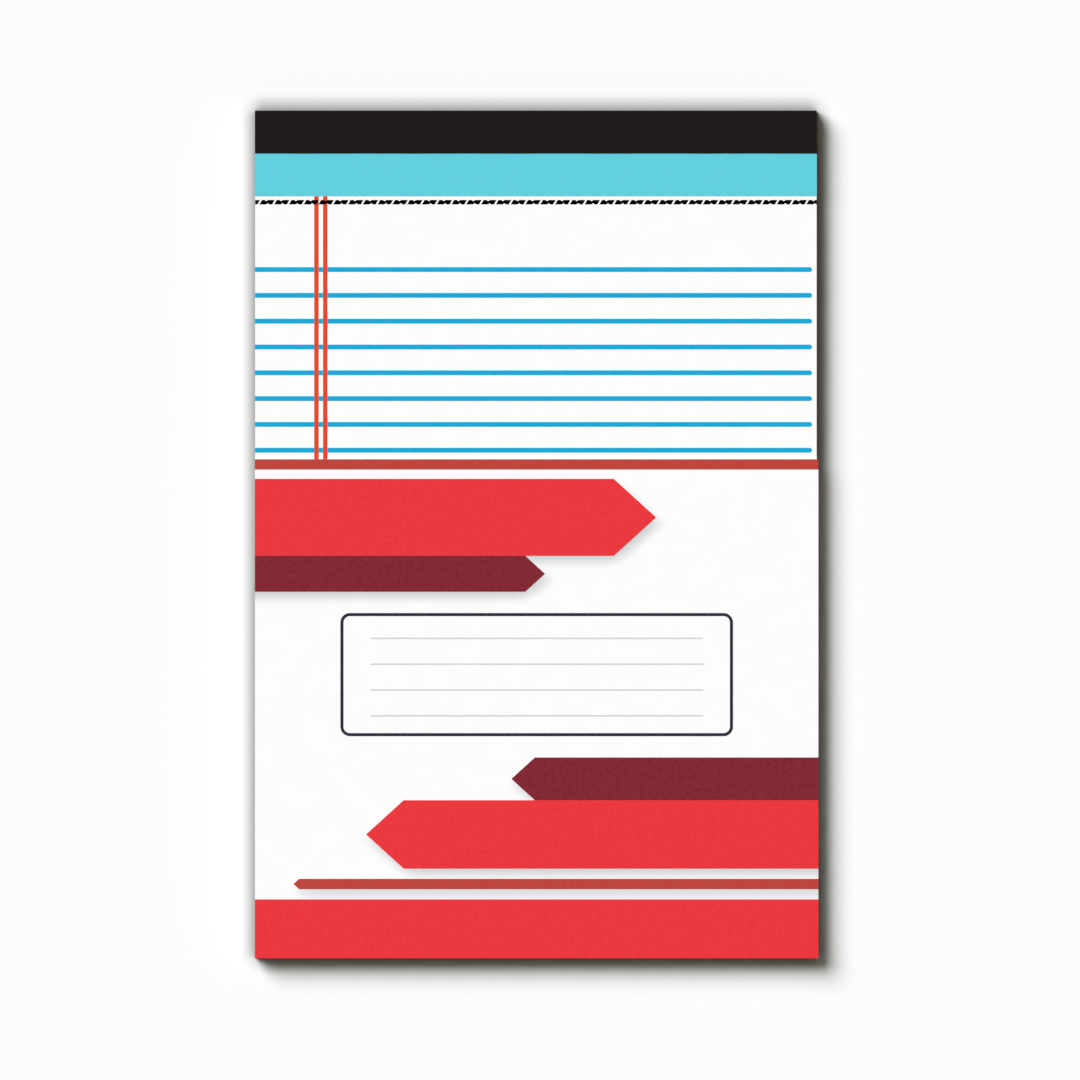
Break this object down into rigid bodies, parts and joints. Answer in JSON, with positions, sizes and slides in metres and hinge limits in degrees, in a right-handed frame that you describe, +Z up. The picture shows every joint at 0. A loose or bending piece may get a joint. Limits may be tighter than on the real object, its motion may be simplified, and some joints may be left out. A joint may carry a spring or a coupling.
{
  "type": "legal pad",
  "caption": "Small perforated writing pad with ruled pages, a folded binding tape over its head, a stiff backing board and a printed label over the lower front.",
  "frame": {"origin": "middle of the pad's outline on the plane that its back rests on", "axes": "+Z up through the pad's thickness, +Y along the pad towards the bound head, +X across it to the right as it is read"},
  "size_m": [0.1319, 0.1984, 0.0062],
  "materials": {
    "sheet_paper": "uncoated white writing paper",
    "grey_chipboard": "uncoated recycled grey board",
    "stitching_wire": "galvanised steel wire",
    "binding_tape_paper": "black coated paper tape",
    "turquoise_ink": "printed turquoise",
    "blue_rule_ink": "printed blue",
    "red_margin_ink": "printed red-orange",
    "label_paper": "coated white label paper",
    "label_red_ink": "printed red",
    "label_maroon_ink": "printed maroon",
    "label_brick_ink": "printed brick red",
    "label_slate_ink": "printed slate",
    "label_grey_ink": "printed pale grey"
  },
  "bodies": {
    "root": {"ruled_sheets": "sheet_paper", "backing_board": "grey_chipboard", "wire_stitches": "stitching_wire", "binding_tape": "binding_tape_paper", "head_strip_print": "turquoise_ink", "rule_print": "blue_rule_ink", "margin_print": "red_margin_ink", "front_label": "label_paper", "label_red_print": "label_red_ink", "label_maroon_print": "label_maroon_ink", "label_brick_print": "label_brick_ink", "label_slate_print": "label_slate_ink", "label_grey_print": "label_grey_ink"}
  },
  "joints": []
}
